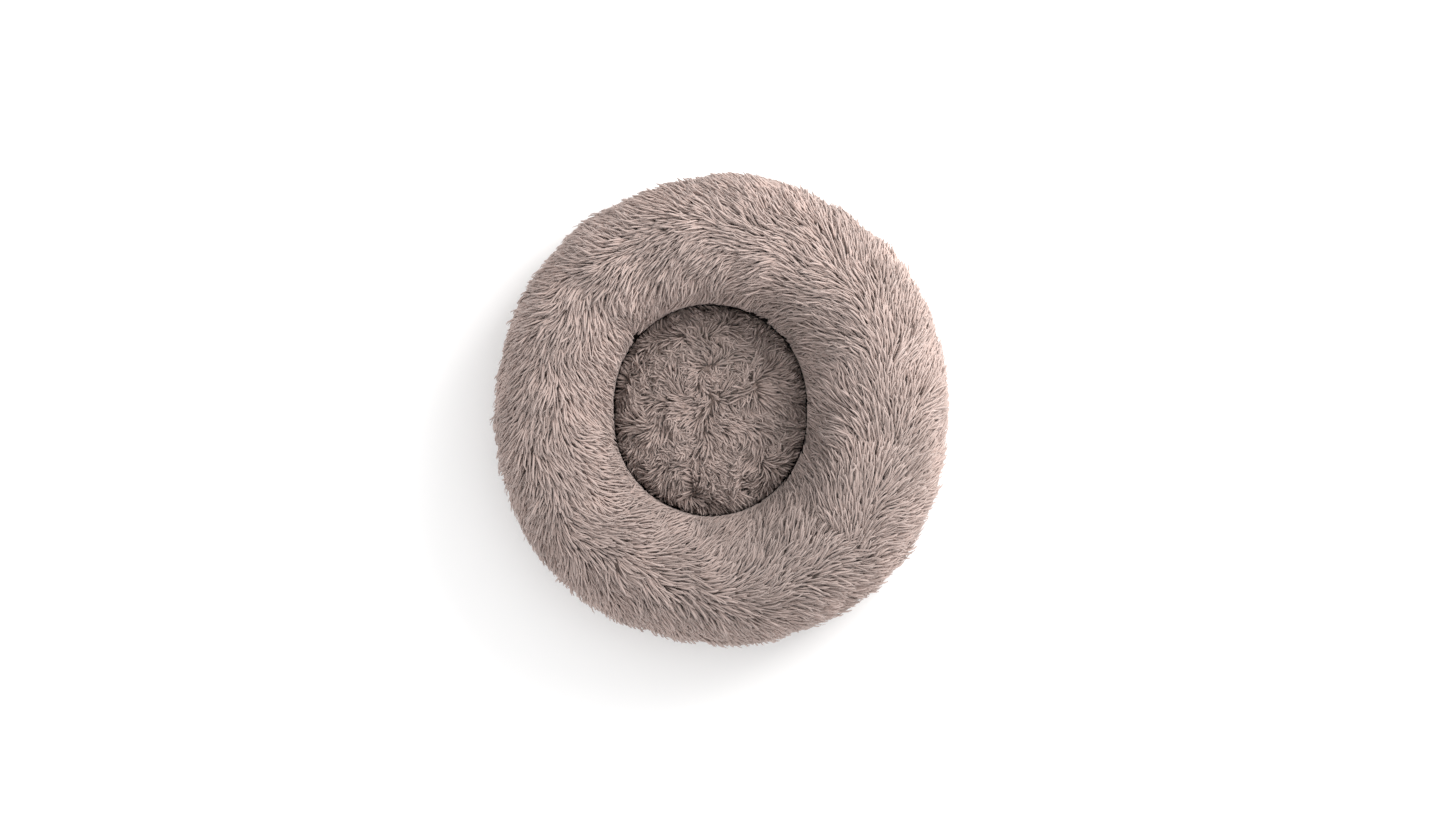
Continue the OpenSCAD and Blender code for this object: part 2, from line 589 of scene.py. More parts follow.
@dataclass(frozen=True)
class WeaveFinish:
    """Plain woven cloth whose yarns cross in object space."""

    name: str
    light: Colour
    dark: Colour
    yarn: float
    relief: float = 0.5
    roughness: float = 0.85
    sheen: float = 0.15
    coat: float = 0.0

    def material(self) -> bpy.types.Material:
        """Builds the weave from two crossed sets of yarns and their slubs.

        Returns:
            The finished material.
        """
        s = Shader(self.name)
        where = s.place()
        split = s.node("ShaderNodeSeparateXYZ")
        s.join(where, split.inputs[0])
        turns = math.pi / self.yarn
        along = s.math("SINE", s.math("MULTIPLY", split.outputs["X"], turns))
        across = s.math("SINE", s.math("MULTIPLY", split.outputs["Y"], turns))
        upright = s.math("SINE", s.math("MULTIPLY", split.outputs["Z"], turns))
        crossed = s.math("MULTIPLY", along, across)
        wall = s.math("MULTIPLY", s.math("ADD", along, across), s.math("MULTIPLY", upright, 0.5))
        yarns = s.spread(s.math("ADD", crossed, s.math("MULTIPLY", wall, 0.4)), 0.45, 0.95)
        slub = s.spread(s.noise(where, 0.35 / self.yarn, 3.0, 0.6), 0.82, 1.18)
        cloud = s.spread(s.noise(where, 9.0, 3.0, 0.55), 0.9, 1.1)
        mixed = s.ramp(yarns, [(0.0, self.dark), (1.0, self.light)])
        s.bump(s.math("MULTIPLY", yarns, slub), self.relief, self.yarn * 0.5)
        s.set(roughness=self.roughness, sheen_weight=self.sheen, coat_weight=self.coat,
              specular_ior_level=0.3)
        return s.colour(s.tint(s.tint(mixed, slub), cloud))


@dataclass(frozen=True)
class FibreFinish:
    """Loose polyester wadding or a fleecy non-woven."""

    name: str
    light: Colour
    dark: Colour
    scale: float

    def material(self) -> bpy.types.Material:
        """Builds tangled fibres from stretched noise.

        Returns:
            The finished material.
        """
        s = Shader(self.name)
        where = s.place()
        tangle = s.noise(where, self.scale, 6.0, 0.75)
        clump = s.noise(where, self.scale * 0.12, 3.0, 0.5)
        height = s.math("ADD", s.math("MULTIPLY", tangle, 0.6), s.math("MULTIPLY", clump, 0.8))
        s.bump(height, 0.6, 0.001)
        s.set(roughness=0.95, sheen_weight=0.4, specular_ior_level=0.2)
        return s.colour(s.ramp(height, [(0.35, self.dark), (0.85, self.light)]))


@dataclass(frozen=True)
class MouldedFinish:
    """Rubber or plastic with a fine grain."""

    name: str
    base: Colour
    roughness: float
    grain: float = 2600.0
    relief: float = 0.15

    def material(self) -> bpy.types.Material:
        """Builds a faintly uneven moulded surface.

        Returns:
            The finished material.
        """
        s = Shader(self.name)
        where = s.place()
        grain = s.noise(where, self.grain, 2.0, 0.5)
        wear = s.spread(s.noise(where, 45.0, 4.0, 0.6), 0.85, 1.15)
        s.join(s.spread(grain, self.roughness - 0.06, self.roughness + 0.08),
               s.surface.inputs["Roughness"])
        s.bump(grain, self.relief, 0.0002)
        s.set(specular_ior_level=0.4)
        return s.colour(s.tint(self.base, wear))


@dataclass(frozen=True)
class MetalFinish:
    """Die-cast metal with a brushed, slightly worn skin."""

    name: str
    base: Colour
    roughness: float

    def material(self) -> bpy.types.Material:
        """Builds fine brushing along X with rubbed patches.

        Returns:
            The finished material.
        """
        s = Shader(self.name)
        stretch = s.node("ShaderNodeMapping")
        stretch.inputs["Scale"].default_value = (0.08, 1.0, 1.0)
        s.join(s.place(), stretch.inputs["Vector"])
        brush = s.noise(stretch.outputs["Vector"], 5200.0, 3.0, 0.65)
        rubbed = s.noise(s.place(), 260.0, 3.0, 0.55)
        worn = s.math("ADD", s.math("MULTIPLY", brush, 0.5), s.math("MULTIPLY", rubbed, 0.5))
        s.join(s.spread(worn, self.roughness - 0.1, self.roughness + 0.14),
               s.surface.inputs["Roughness"])
        s.bump(brush, 0.08, 0.0001)
        s.set(metallic=1.0)
        return s.colour(s.tint(self.base, s.spread(rubbed, 0.88, 1.08)))


class Wardrobe:
    """Every finish of the bed, each built once when it is first worn."""

    FINISHES: dict[str, Any] = {
        # Both piles darken towards the root as painted shade between the tufts. The cushion pile's
        # darker root and middle are further painted shade, for its place down in the well.
        "ring_pile": PileFinish("ring_pile", (0.43, 0.318, 0.280), (0.46, 0.358, 0.324),
                                (0.475, 0.380, 0.349)),
        "cushion_pile": PileFinish("cushion_pile", (0.31, 0.225, 0.197), (0.41, 0.316, 0.284),
                                   (0.465, 0.371, 0.340)),
        "plush_backing": WeaveFinish("plush_backing", (0.38, 0.285, 0.25), (0.26, 0.195, 0.17),
                                     0.0009, relief=0.4),
        "cushion_back": WeaveFinish("cushion_back", (0.27, 0.22, 0.195), (0.16, 0.13, 0.115),
                                    0.0007),
        "base_cloth": WeaveFinish("base_cloth", (0.165, 0.135, 0.122), (0.085, 0.069, 0.062),
                                  0.0008, relief=0.7, roughness=0.62, coat=0.12),
        "binding_tape": WeaveFinish("binding_tape", (0.12, 0.098, 0.088), (0.065, 0.052, 0.047),
                                    0.0006),
        "zip_tape": WeaveFinish("zip_tape", (0.105, 0.086, 0.078), (0.055, 0.045, 0.041), 0.00045),
        "liner_cloth": WeaveFinish("liner_cloth", (0.80, 0.79, 0.76), (0.62, 0.61, 0.58), 0.0005,
                                   relief=0.3),
        "wadding": FibreFinish("wadding", (0.90, 0.89, 0.87), (0.66, 0.65, 0.63), 900.0),
        "label_satin": WeaveFinish("label_satin", (0.84, 0.83, 0.80), (0.74, 0.73, 0.70), 0.00025,
                                   relief=0.15, roughness=0.42),
        "grip_rubber": MouldedFinish("grip_rubber", (0.022, 0.020, 0.019), 0.62),
        "coil_nylon": MouldedFinish("coil_nylon", (0.05, 0.043, 0.039), 0.38, 3800.0, 0.08),
        "zip_metal": MetalFinish("zip_metal", (0.50, 0.48, 0.45), 0.34),
        "thread": WeaveFinish("thread", (0.34, 0.29, 0.26), (0.22, 0.185, 0.165), 0.00022,
                              relief=0.6),
    }
    _made: dict[str, bpy.types.Material] = {}

    @classmethod
    def dress(cls, obj: bpy.types.Object, finish: str) -> None:
        """Gives a piece one finish all over.

        Args:
            obj: the piece.
            finish: the finish's name.
        """
        if finish not in cls._made:
            cls._made[finish] = cls.FINISHES[finish].material()
        obj.data.materials.clear()
        obj.data.materials.append(cls._made[finish])
        slots = np.zeros(len(obj.data.polygons), np.int32)
        obj.data.polygons.foreach_set("material_index", slots)


def report(obj: bpy.types.Object) -> None:
    """Logs a finished piece's name and size.

    Args:
        obj: the finished piece.
    """
    spot = points_of(obj)
    low, high = spot.min(axis=0) / MM, spot.max(axis=0) / MM
    LOG.info("%-26s %7d faces, %s to %s mm", obj.name, len(obj.data.polygons),
             np.round(low, 1).tolist(), np.round(high, 1).tolist())


def place_piece(obj: bpy.types.Object, body: Body, finish: str,
                replaces: Sequence[str] = ()) -> None:
    """Dresses a new piece and tells the frame what it is.

    Args:
        obj: the finished piece.
        body: the body it moves with.
        finish: the finish it wears.
        replaces: the nodes that it stands for.
    """
    Wardrobe.dress(obj, finish)
    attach(obj, body.value)
    if replaces:
        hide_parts(*replaces)
    report(obj)


# ---------------------------------------------------------------- the bed's sizes


@dataclass(frozen=True)
class BedSizes:
    """The sizes that all sub-assemblies share, read from the loaded frame."""

    width: float
    length: float
    height: float
    well_radius: float
    well_x: float
    floor_z: float
    base_radius: float
    cushion_radius: float
    cushion_top: float
    seam_z: float
    zip_low: Vector
    zip_high: Vector

    CUSHION_GAP = 3 * MM

    @property
    def straight(self) -> float:
        """Length of the outline's straight sides."""
        return self.length - self.width

    @classmethod
    def from_frame(cls) -> "BedSizes":
        """Reads the sizes off the carried-over nodes.

        Returns:
            The bed's sizes.
        """
        corners = [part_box(f"bolster_cover_{side}") for side in ("left", "right")]
        low = Vector(min(c[0][i] for c in corners) for i in range(3))
        high = Vector(max(c[1][i] for c in corners) for i in range(3))
        pad_low, pad_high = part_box("cushion_cover")
        zip_low, zip_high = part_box("zip_gusset")
        return cls(
            width=high.x - low.x,
            length=round(high.y - low.y, 4),
            height=high.z,
            well_radius=(pad_high.x - pad_low.x) / 2 + cls.CUSHION_GAP,
            well_x=(pad_high.x + pad_low.x) / 2,
            floor_z=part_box("base_panel")[1].z,
            base_radius=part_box("base_panel")[1].x,
            cushion_radius=(pad_high.x - pad_low.x) / 2,
            cushion_top=pad_high.z,
            seam_z=pad_low.z,
            zip_low=zip_low,
            zip_high=zip_high,
        )


@dataclass(frozen=True)
class Outline:
    """A round outline with short straight sides along Y."""

    radius: float
    straight: float
    centre_x: float = 0.0

    def at(self, angle: Array, inset: float = 0.0) -> Array:
        """Points of the outline, in plan.

        Args:
            angle: direction of the outline's normal at each point.
            inset: how far the points lie inside the outline.

        Returns:
            One row of x and y for each angle.
        """
        size = self.radius - inset
        shift = np.tanh(5 * np.sin(angle)) * self.straight / 2
        return np.stack([self.centre_x + size * np.cos(angle), size * np.sin(angle) + shift], -1)


def plan_radial(points: Array, centre_x: float, straight: float) -> tuple[Array, Array]:
    """Direction and distance from the spine of an outline, in plan.

    Args:
        points: places, one row each.
        centre_x: where the spine lies along X.
        straight: the spine's length along Y.

    Returns:
        The unit directions, with z = 0, and the distances.
    """
    away = points.copy()
    away[:, 0] -= centre_x
    away[:, 1] -= np.clip(points[:, 1], -straight / 2, straight / 2)
    away[:, 2] = 0
    return unit(away), np.linalg.norm(away, axis=1)


class Puff:
    """Swells a stuffed mesh with cloth simulation."""

    PRESSURE = 4.0
    FRAMES = 20
    TAKEN_UP = 0.7
    LOOSE = 0.02

    @classmethod
    def swell(cls, obj: bpy.types.Object, cap: float, held: Array) -> None:
        """Runs the cloth, then caps how far each point may move.

        Args:
            obj: the closed mesh, a little smaller than it should end up.
            cap: the furthest a point may move, in metres.
            held: 1 where the cloth is sewn down and 0 where it is free, for each vertex.
        """
        before = points_of(obj)
        group = obj.vertex_groups.new(name="sewn")
        for index in np.nonzero(held > cls.LOOSE)[0]:
            group.add([int(index)], float(held[index]), "REPLACE")
        modifier = obj.modifiers.new("puff", "CLOTH")
        cloth = modifier.settings
        cloth.quality = 5
        cloth.mass = 0.25
        cloth.tension_stiffness = cloth.compression_stiffness = 18
        cloth.shear_stiffness = 8
        cloth.bending_stiffness = 0.6
        cloth.use_pressure = True
        cloth.uniform_pressure_force = cls.PRESSURE
        cloth.vertex_group_mass = group.name
        cloth.effector_weights.gravity = 0
        modifier.collision_settings.use_collision = False
        modifier.point_cache.frame_start, modifier.point_cache.frame_end = 1, cls.FRAMES
        scene = bpy.context.scene
        for step in range(1, cls.FRAMES + 1):
            scene.frame_set(step)
        Bench.pick(obj)
        bpy.ops.object.modifier_apply(modifier=modifier.name)
        scene.frame_set(1)
        moved = points_of(obj) - before
        length = np.linalg.norm(moved, axis=1, keepdims=True)
        moved *= np.minimum(1, cap / np.maximum(length, 1e-9))
        move_points(obj, before + moved)
        obj.vertex_groups.clear()


# ---------------------------------------------------------------- pile


@dataclass
class Roots:
    """Where tufts grow: place, surface normal and lie direction of each."""

    place: Array
    normal: Array
    lie: Array


@dataclass(frozen=True)
class TuftSizes:
    """How the tufts of one pile grow, in metres and radians."""

    length: float = 24 * MM
    width: float = 2.6 * MM
    length_spread: float = 0.22
    width_spread: float = 0.28
    root_lift: float = 0.88
    tip_lift: float = -0.04
    lift_spread: float = 0.11
    curl: float = 0.42
    stray: float = 0.12


class Tuft:
    """One lock of fibres, modelled once: a slim closed strand with a blunt, rounded-off tip."""

    CUTS = (0.4, 0.8)
    BELLY = {0.0: 0.62, 0.4: 1.0, 0.8: 0.92, 1.0: 0.46}
    FLATNESS = 0.66
    CAP_STRIP = 0.1
    CAP_CORNERS = ((0.05, 0.0), (0.45, 0.0), (0.25, 0.07))

    def __init__(self) -> None:
        """Models the strand and reads its corners and faces."""
        Bench.clear()
        bpy.ops.mesh.primitive_cylinder_add(vertices=3, radius=1.0, depth=1.0,
                                            location=(0, 0, 0.5), end_fill_type="NGON")
        obj = Bench.take("tuft")
        Bench.settle(obj)
        for height in self.CUTS:
            Bench.edit(obj)
            bpy.ops.mesh.select_all(action="SELECT")
            bpy.ops.mesh.bisect(plane_co=(0, 0, height), plane_no=(0, 0, 1))
            Bench.done()
        Bench.tidy(obj, 1e-5)
        spot = points_of(obj)
        self.height = np.round(spot[:, 2], 3)
        angle = np.arctan2(spot[:, 1], spot[:, 0])
        self.corner = np.round(angle / (TAU / 3)).astype(int) % 3
        swell = np.array([self.BELLY[float(h)] for h in self.height]) / 2
        self.across = swell * np.cos(angle)
        self.up = swell * np.sin(angle) * self.FLATNESS
        self.levels = sorted(set(self.height.tolist()))
        self.level = np.array([self.levels.index(h) for h in self.height])
        mesh = obj.data
        self.loop_vertex = np.zeros(len(mesh.loops), np.int32)
        mesh.loops.foreach_get("vertex_index", self.loop_vertex)
        self.loop_start = np.zeros(len(mesh.polygons), np.int32)
        mesh.polygons.foreach_get("loop_start", self.loop_start)
        self.loop_uv = self._unwrap(mesh)
        Bench.discard(obj)

    def _unwrap(self, mesh: bpy.types.Mesh) -> Array:
        """Lays the three sides next to each other and both caps in a strip below.

        Args:
            mesh: the template's mesh.

        Returns:
            One row of u and v, from 0 to 1, for each face corner.
        """
        uv = np.zeros((len(mesh.loops), 2))
        for face in mesh.polygons:
            ids = [mesh.loops[i].vertex_index for i in face.loop_indices]
            ends = {float(self.height[i]) for i in ids}
            if len(ends) == 1:
                start = 0.5 * ends.pop()
                for loop, spot in zip(face.loop_indices, self.CAP_CORNERS):
                    uv[loop] = (start + spot[0], spot[1])
                continue
            around = sorted({int(self.corner[i]) for i in ids})
            first = 2 if around == [0, 2] else around[0]
            for loop, i in zip(face.loop_indices, ids):
                side = float((self.corner[i] - first) % 3)
                rise = self.CAP_STRIP + (1 - self.CAP_STRIP) * self.height[i]
                uv[loop] = ((first + side) / 3, rise)
        return uv


class Pile:
    """Plants tufts on a surface and makes meshes of them."""

    DEPTH = "pile_depth"
    TONE = "tuft_tone"
    STRAND = "strand"
    MAP = "OFBake"
    STEPS = 10
    BEND = 1.7
    CURL_PIVOT = 0.35
    FLOOR_GIVE = 0.04
    STRAND_SPAN = 700
    CELL_START = 0.06
    CELL_FILL = 0.88

    def __init__(self, tuft: Tuft, seed: int) -> None:
        """Keeps the tuft to copy and the seed of every draw."""
        self.tuft = tuft
        self.rng = np.random.default_rng(seed)

    def scatter(self, obj: bpy.types.Object, density: float,
                keep: Callable[[Array, Array], Array]) -> tuple[Array, Array]:
        """Spreads roots evenly over a mesh.

        Args:
            obj: the mesh that the tufts grow from.
            density: tufts per square metre.
            keep: gives from 0 to 1 how much of the density each place and normal gets.

        Returns:
            The roots' places and surface normals.
        """
        mesh = obj.data
        mesh.calc_loop_triangles()
        corners = np.zeros(len(mesh.loop_triangles) * 3, np.int32)
        mesh.loop_triangles.foreach_get("vertices", corners)
        corners = corners.reshape(-1, 3)
        spot, normal = points_of(obj), normals_of(obj)
        a, b, c = (spot[corners[:, i]] for i in range(3))
        area = np.linalg.norm(np.cross(b - a, c - a), axis=1) / 2
        total = np.concatenate([[0], np.cumsum(area)])
        count = int(total[-1] * density)
        at = (np.arange(count) + self.rng.random(count)) / count * total[-1]
        face = np.clip(np.searchsorted(total, at, side="right") - 1, 0, len(area) - 1)
        u, v = self.rng.random(count), self.rng.random(count)
        fold = u + v > 1
        u[fold], v[fold] = 1 - u[fold], 1 - v[fold]
        weight = np.stack([1 - u - v, u, v], -1)[:, :, None]
        place = (spot[corners[face]] * weight).sum(axis=1)
        facing = unit((normal[corners[face]] * weight).sum(axis=1))
        chosen = self.rng.random(count) < keep(place, facing)
        return place[chosen], facing[chosen]

    def grow(self, roots: Roots, sizes: TuftSizes, length: Array, tone: Array,
             lift: Array, floor: float) -> tuple[Array, Array, Array]:
        """Bends one copy of the tuft at every root.

        Args:
            roots: where the tufts grow and which way they lie.
            sizes: the pile's tuft sizes.
            length: a factor on each tuft's length.
            tone: each tuft's lightness.
            lift: added to each tuft's elevation along its whole length, in radians.
            floor: the lowest that any point may go.

        Returns:
            The vertex places by tuft, and each vertex's strand and tone values.
        """
        count, rng, tuft = len(roots.place), self.rng, self.tuft
        normal, lie = roots.normal, roots.lie
        side = unit(np.cross(normal, lie))
        longer = sizes.length_spread * rng.normal(size=count).clip(-2, 2)
        reach = sizes.length * length * (1 + longer)
        wider = sizes.width_spread * rng.normal(size=count).clip(-1.8, 2.2)
        girth = sizes.width * (1 + wider)
        swing = sizes.stray * rng.normal(size=count)
        curl = sizes.curl * rng.normal(size=count)
        raised = lift + sizes.lift_spread * rng.normal(size=count).clip(-2, 2)
        path = np.zeros((self.STEPS + 1, count, 3))
        for k in range(self.STEPS):
            t = (k + 0.5) / self.STEPS
            drop = (sizes.root_lift - sizes.tip_lift) * (1 - t) ** self.BEND
            elevation = sizes.tip_lift + drop + raised
            heading = swing + curl * (t - self.CURL_PIVOT)
            flat = np.cos(heading)[:, None] * lie + np.sin(heading)[:, None] * side
            step = np.cos(elevation)[:, None] * flat + np.sin(elevation)[:, None] * normal
            path[k + 1] = path[k] + step * (reach / self.STEPS)[:, None]
        spots = np.zeros((count, len(tuft.height), 3))
        for index, height in enumerate(tuft.levels):
            k = int(round(height * self.STEPS))
            ahead = unit(path[min(k + 1, self.STEPS)] - path[max(k - 1, 0)])
            beside = unit(np.cross(normal, ahead) + 1e-6)
            above = np.cross(ahead, beside)
            for vertex in np.nonzero(tuft.level == index)[0]:
                spots[:, vertex] = (roots.place + path[k]
                                    + beside * (girth * tuft.across[vertex])[:, None]
                                    + above * (girth * tuft.up[vertex])[:, None])
        height = spots[:, :, 2]
        pressed = floor + (floor - height) * self.FLOOR_GIVE
        spots[:, :, 2] = np.where(height < floor, pressed, height)
        strand = tuft.corner[None, :] + rng.random(count)[:, None] * self.STRAND_SPAN
        shade = np.repeat(tone[:, None], len(tuft.height), axis=1)
        return spots, strand, shade

    def mesh(self, name: str, spots: Array, strand: Array, shade: Array) -> bpy.types.Object:
        """Makes one object of planted tufts, with its attributes and its map.

        Args:
            name: the piece's name.
            spots: vertex places by tuft.
            strand: the fibre value of each vertex.
            shade: the tone of each vertex.

        Returns:
            The new object.
        """
        tuft, count = self.tuft, len(spots)
        mesh = bpy.data.meshes.new(name)
        per = len(tuft.height)
        offset = np.arange(count)[:, None]
        mesh.vertices.add(count * per)
        mesh.vertices.foreach_set("co", spots.astype(np.float32).ravel())
        loops = (tuft.loop_vertex[None, :] + offset * per).ravel()
        mesh.loops.add(len(loops))
        mesh.loops.foreach_set("vertex_index", loops.astype(np.int32))
        starts = (tuft.loop_start[None, :] + offset * len(tuft.loop_vertex)).ravel()
        mesh.polygons.add(len(starts))
        mesh.polygons.foreach_set("loop_start", starts.astype(np.int32))
        mesh.update(calc_edges=True)
        columns = math.ceil(math.sqrt(count))
        cell = np.stack([np.arange(count) % columns, np.arange(count) // columns], -1)
        uv = (cell[:, None, :] + self.CELL_START + self.CELL_FILL * tuft.loop_uv[None]) / columns
        layer = mesh.uv_layers.new(name=self.MAP)
        layer.data.foreach_set("uv", uv.astype(np.float32).ravel())
        depth = np.repeat(tuft.height[None, :], count, axis=0)
        for title, values in ((self.DEPTH, depth), (self.STRAND, strand), (self.TONE, shade)):
            attribute = mesh.attributes.new(title, "FLOAT", "POINT")
            attribute.data.foreach_set("value", values.astype(np.float32).ravel())
        mesh.polygons.foreach_set("use_smooth", np.ones(len(mesh.polygons), bool))
        mesh.validate()
        return Bench.link(name, mesh)


# ---------------------------------------------------------------- bolster


@dataclass
class Bolster:
    """The stuffed ring: two plush half panels, their pile, the inner bag and the stuffing.

    Sizes are in metres. The sweep and the fields named bearing are in degrees, as the painted
    shade patch's width is, and so are a slump's bearing and spread. The other turns are in
    radians. The pile's tone carries painted shade on the crown and inner slope, and painted
    light and shade on the inner wall.
    """

    sizes: BedSizes
    tuft: Tuft
    pile_depth: float = 10.4 * MM
    inner_depth: float = 2.6 * MM
    snug: float = 6.0 * MM
    waist: float = 76 * MM
    crown_power: float = 2.2
    foot_power: float = 3.4
    around: int = 224
    across: int = 64
    cloth: float = 1.6 * MM
    seam_angle: float = math.radians(134.5)
    seam_dip: float = 4.0 * MM
    tuck_dip: float = 6.0 * MM
    well_clearance: float = 0.3 * MM
    swell: float = 4.0 * MM
    bag_depth: float = 3.2 * MM
    stuffing_depth: float = 5.2 * MM
    slumps: tuple[tuple[float, float, float], ...] = (
        (213, 4.5 * MM, 26), (312, 2.5 * MM, 24), (40, -1.0 * MM, 30), (180, 1.0 * MM, 20))
    lumps: tuple[Ripple, ...] = (Ripple(11, 0.17, 1.4 * MM), Ripple(12, 0.065, 0.5 * MM))
    highest_lump: float = 5 * MM
    back_seam_share: float = 0.55
    back_seam_width: float = 0.011
    front_seam_width: float = 0.012
    tuck_width: float = 0.012
    sweep: float = 66.0
    sweep_balance: float = 0.1
    sweep_power: float = 0.8
    sway: tuple[Ripple, ...] = (Ripple(21, 0.075, 0.24), Ripple(22, 0.03, 0.13))
    parting: float = 0.6
    parting_widths: tuple[float, float] = (0.045, 0.06)
    tuck_turn: float = 0.2
    tuck_turn_width: float = 0.03
    density: float = 115_000.0
    pressed_cut: float = 0.25
    foot_cut: float = 0.35
    flank_cut: float = 0.12
    uneven_length: Ripple = Ripple(31, 0.05, 0.06)
    uneven_tone: Ripple = Ripple(32, 0.06, 0.045)
    tone_spread: float = 0.045
    uneven_lift: Ripple = Ripple(33, 0.04, 0.07)
    flank_settle: float = 0.13
    # Painted shade in the pile's colour: the tufts on the crown and inner slope are darker all
    # round, and darker still in a patch round a bearing of -68 degrees.
    crown_painted_shade: float = 0.05
    painted_shade_bearing: float = -68.0
    painted_shade_width: float = 42.0
    patch_painted_shade: float = 0.16
    # Painted light and shade: the inner wall's tufts are lighter where the wall faces bearing 150
    # degrees and darker where it faces away.
    wall_light_bearing: float = 150.0
    wall_painted_light: float = 0.14
    sectors: int = 4
    tuft_sizes: TuftSizes = field(default_factory=TuftSizes)

    def build(self) -> None:
        """Builds and dresses every piece of the ring."""
        skin = self.skin()
        self.panel(skin, "bolster_cloth_left", 1, "bolster_cover_left")
        self.panel(skin, "bolster_cloth_right", -1, "bolster_cover_right")
        self.layer(skin, "bolster_inner_bag", self.bag_depth, "liner_cloth", "liner_cloth",
                   "bolster_liner")
        self.layer(skin, "bolster_stuffing", self.stuffing_depth, "fibre_fill", "wadding",
                   "bolster_fill")
        self.pile(skin)
        Bench.discard(skin)

    def skin(self) -> bpy.types.Object:
        """Models the ring's closed outer cloth, before it is cut into panels.

        Returns:
            The ring's skin.
        """
        skin, turn, lap = Bench.ring("bolster_skin", self.around, self.across, 0.4)
        move_points(skin, self.surface(turn, lap))
        Bench.tidy(skin)
        Bench.smooth(skin)
        held = 1 - smoothstep(8 * MM, 26 * MM, points_of(skin)[:, 2])
        Puff.swell(skin, self.swell, held)
        self.soften(skin)
        return skin

    def surface(self, turn: Array, lap: Array) -> Array:
        """The ring's smooth shape, a little under its final size.

        Args:
            turn: angle round the bed.
            lap: angle round the section, 0 outside and a quarter turn on the crown.

        Returns:
            One place for each pair of angles.
        """
        s, slack = self.sizes, Puff.TAKEN_UP * self.swell
        depth = self.pile_depth + slack
        rise, reach = np.sin(lap), np.cos(lap)
        power = 2 / np.where(rise >= 0, self.crown_power, self.foot_power)
        reach = signed_power(reach, power)
        rise = signed_power(rise, power)
        top, foot = s.height - depth, s.floor_z + 0.4 * MM
        height = self.waist + np.where(rise >= 0, top - self.waist, self.waist - foot) * rise
        snug = self.snug * smoothstep(self.waist + 12 * MM, self.waist - 26 * MM, height)
        outer = Outline(s.width / 2, s.straight).at(turn, depth)
        well = Outline(s.well_radius, s.straight, s.well_x)
        inner = well.at(turn, snug - depth - self.inner_depth)
        blend = (0.5 + 0.5 * reach)[:, None]
        return np.column_stack([inner * (1 - blend) + outer * blend, height])

    def seam_offset(self, spot: Array) -> tuple[Array, Array]:
        """Distance from the two cross seams, along the ring.

        Args:
            spot: places on the ring.

        Returns:
            The signed distances from the upper left seam and from the lower right seam.
        """
        angle = np.arctan2(spot[:, 1], spot[:, 0] - self.sizes.well_x)
        radius = np.hypot(spot[:, 1], spot[:, 0] - self.sizes.well_x)
        back, front = ((angle - self.seam_angle - k * math.pi + math.pi) % TAU - math.pi
                       for k in (0, 1))
        return back * radius, front * radius

    def soften(self, skin: bpy.types.Object) -> None:
        """Gives the swollen ring its lumps, and pulls it in along the cross seams.

        Args:
            skin: the ring's skin, changed in place.
        """
        spot, normal = points_of(skin), normals_of(skin)
        outward, _ = plan_radial(spot, self.sizes.well_x / 2, self.sizes.straight)
        free = smoothstep(10 * MM, 45 * MM, spot[:, 2])
        lumps = ripples_at(self.lumps, spot)
        back, front = self.seam_offset(spot)
        flank = dot(normal, outward)
        sides = 1 - 0.8 * smoothstep(0.3, 0.8, np.abs(flank))
        dip = sides * (self.back_seam_share * self.seam_dip * bell(back, self.back_seam_width)
                       + self.seam_dip * bell(front, self.front_seam_width))
        dip += self.tuck_dip * smoothstep(-0.1, -0.8, flank) * bell(back, self.tuck_width)
        bearing = np.degrees(np.arctan2(spot[:, 1], spot[:, 0]))
        for middle, bulge, spread in self.slumps:
            off = degrees_from(bearing, middle)
            lumps += bulge * bell(off, spread) * smoothstep(0.1, 0.8, flank)
        raised = (np.minimum(lumps, self.highest_lump) - dip) * free
        move_points(skin, spot + normal * raised[:, None])

    def panel(self, skin: bpy.types.Object, name: str, side: int, node: str) -> None:
        """Cuts one plush half panel out of the skin and gives the cloth its thickness.

        Args:
            skin: the closed skin.
            name: the new piece's name.
            side: 1 for the panel left of the seams and -1 for the other.
            node: the node that it stands for.
        """
        panel = Bench.copy(skin, name)
        middle = Vector((self.sizes.well_x, 0, 0))
        across = Vector((math.sin(self.seam_angle), -math.cos(self.seam_angle), 0)) * side
        Bench.trim(panel, middle, across)
        Bench.trim(panel, Vector((0, 0, self.sizes.floor_z + 1.0 * MM)), Vector((0, 0, -1)))
        move_points(panel, self.over_zip(points_of(panel), 1.2 * MM))
        Bench.apply(panel, "SOLIDIFY", thickness=self.cloth, offset=-1.0)
        Bench.tidy(panel, 1e-6)
        Bench.smooth(panel)
        place_piece(panel, Body.BOLSTER, "plush_backing", [node])

    def layer(self, skin: bpy.types.Object, name: str, depth: float, slot: str, finish: str,
              node: str) -> None:
        """Makes an inner layer that follows the skin and leaves room for the zip's recess.

        Args:
            skin: the closed skin.
            name: the new piece's name.
            depth: how far the layer lies inside the skin.
            slot: not used.
            finish: the finish it wears.
            node: the node that it stands for.
        """
        s = self.sizes
        layer = Bench.copy(skin, name)
        spot, normal = points_of(layer), normals_of(layer)
        inward = depth * (1 - smoothstep(0.35, 0.85, -normal[:, 2]))
        spot -= normal * inward[:, None]
        spot[:, 2] = np.maximum(spot[:, 2], s.floor_z + 0.3 * MM + depth * 0.15)
        spot = self.over_zip(spot, 2.2 * MM + depth * 0.5)
        move_points(layer, spot)
        Bench.smooth(layer)
        place_piece(layer, Body.BOLSTER, finish, [node])

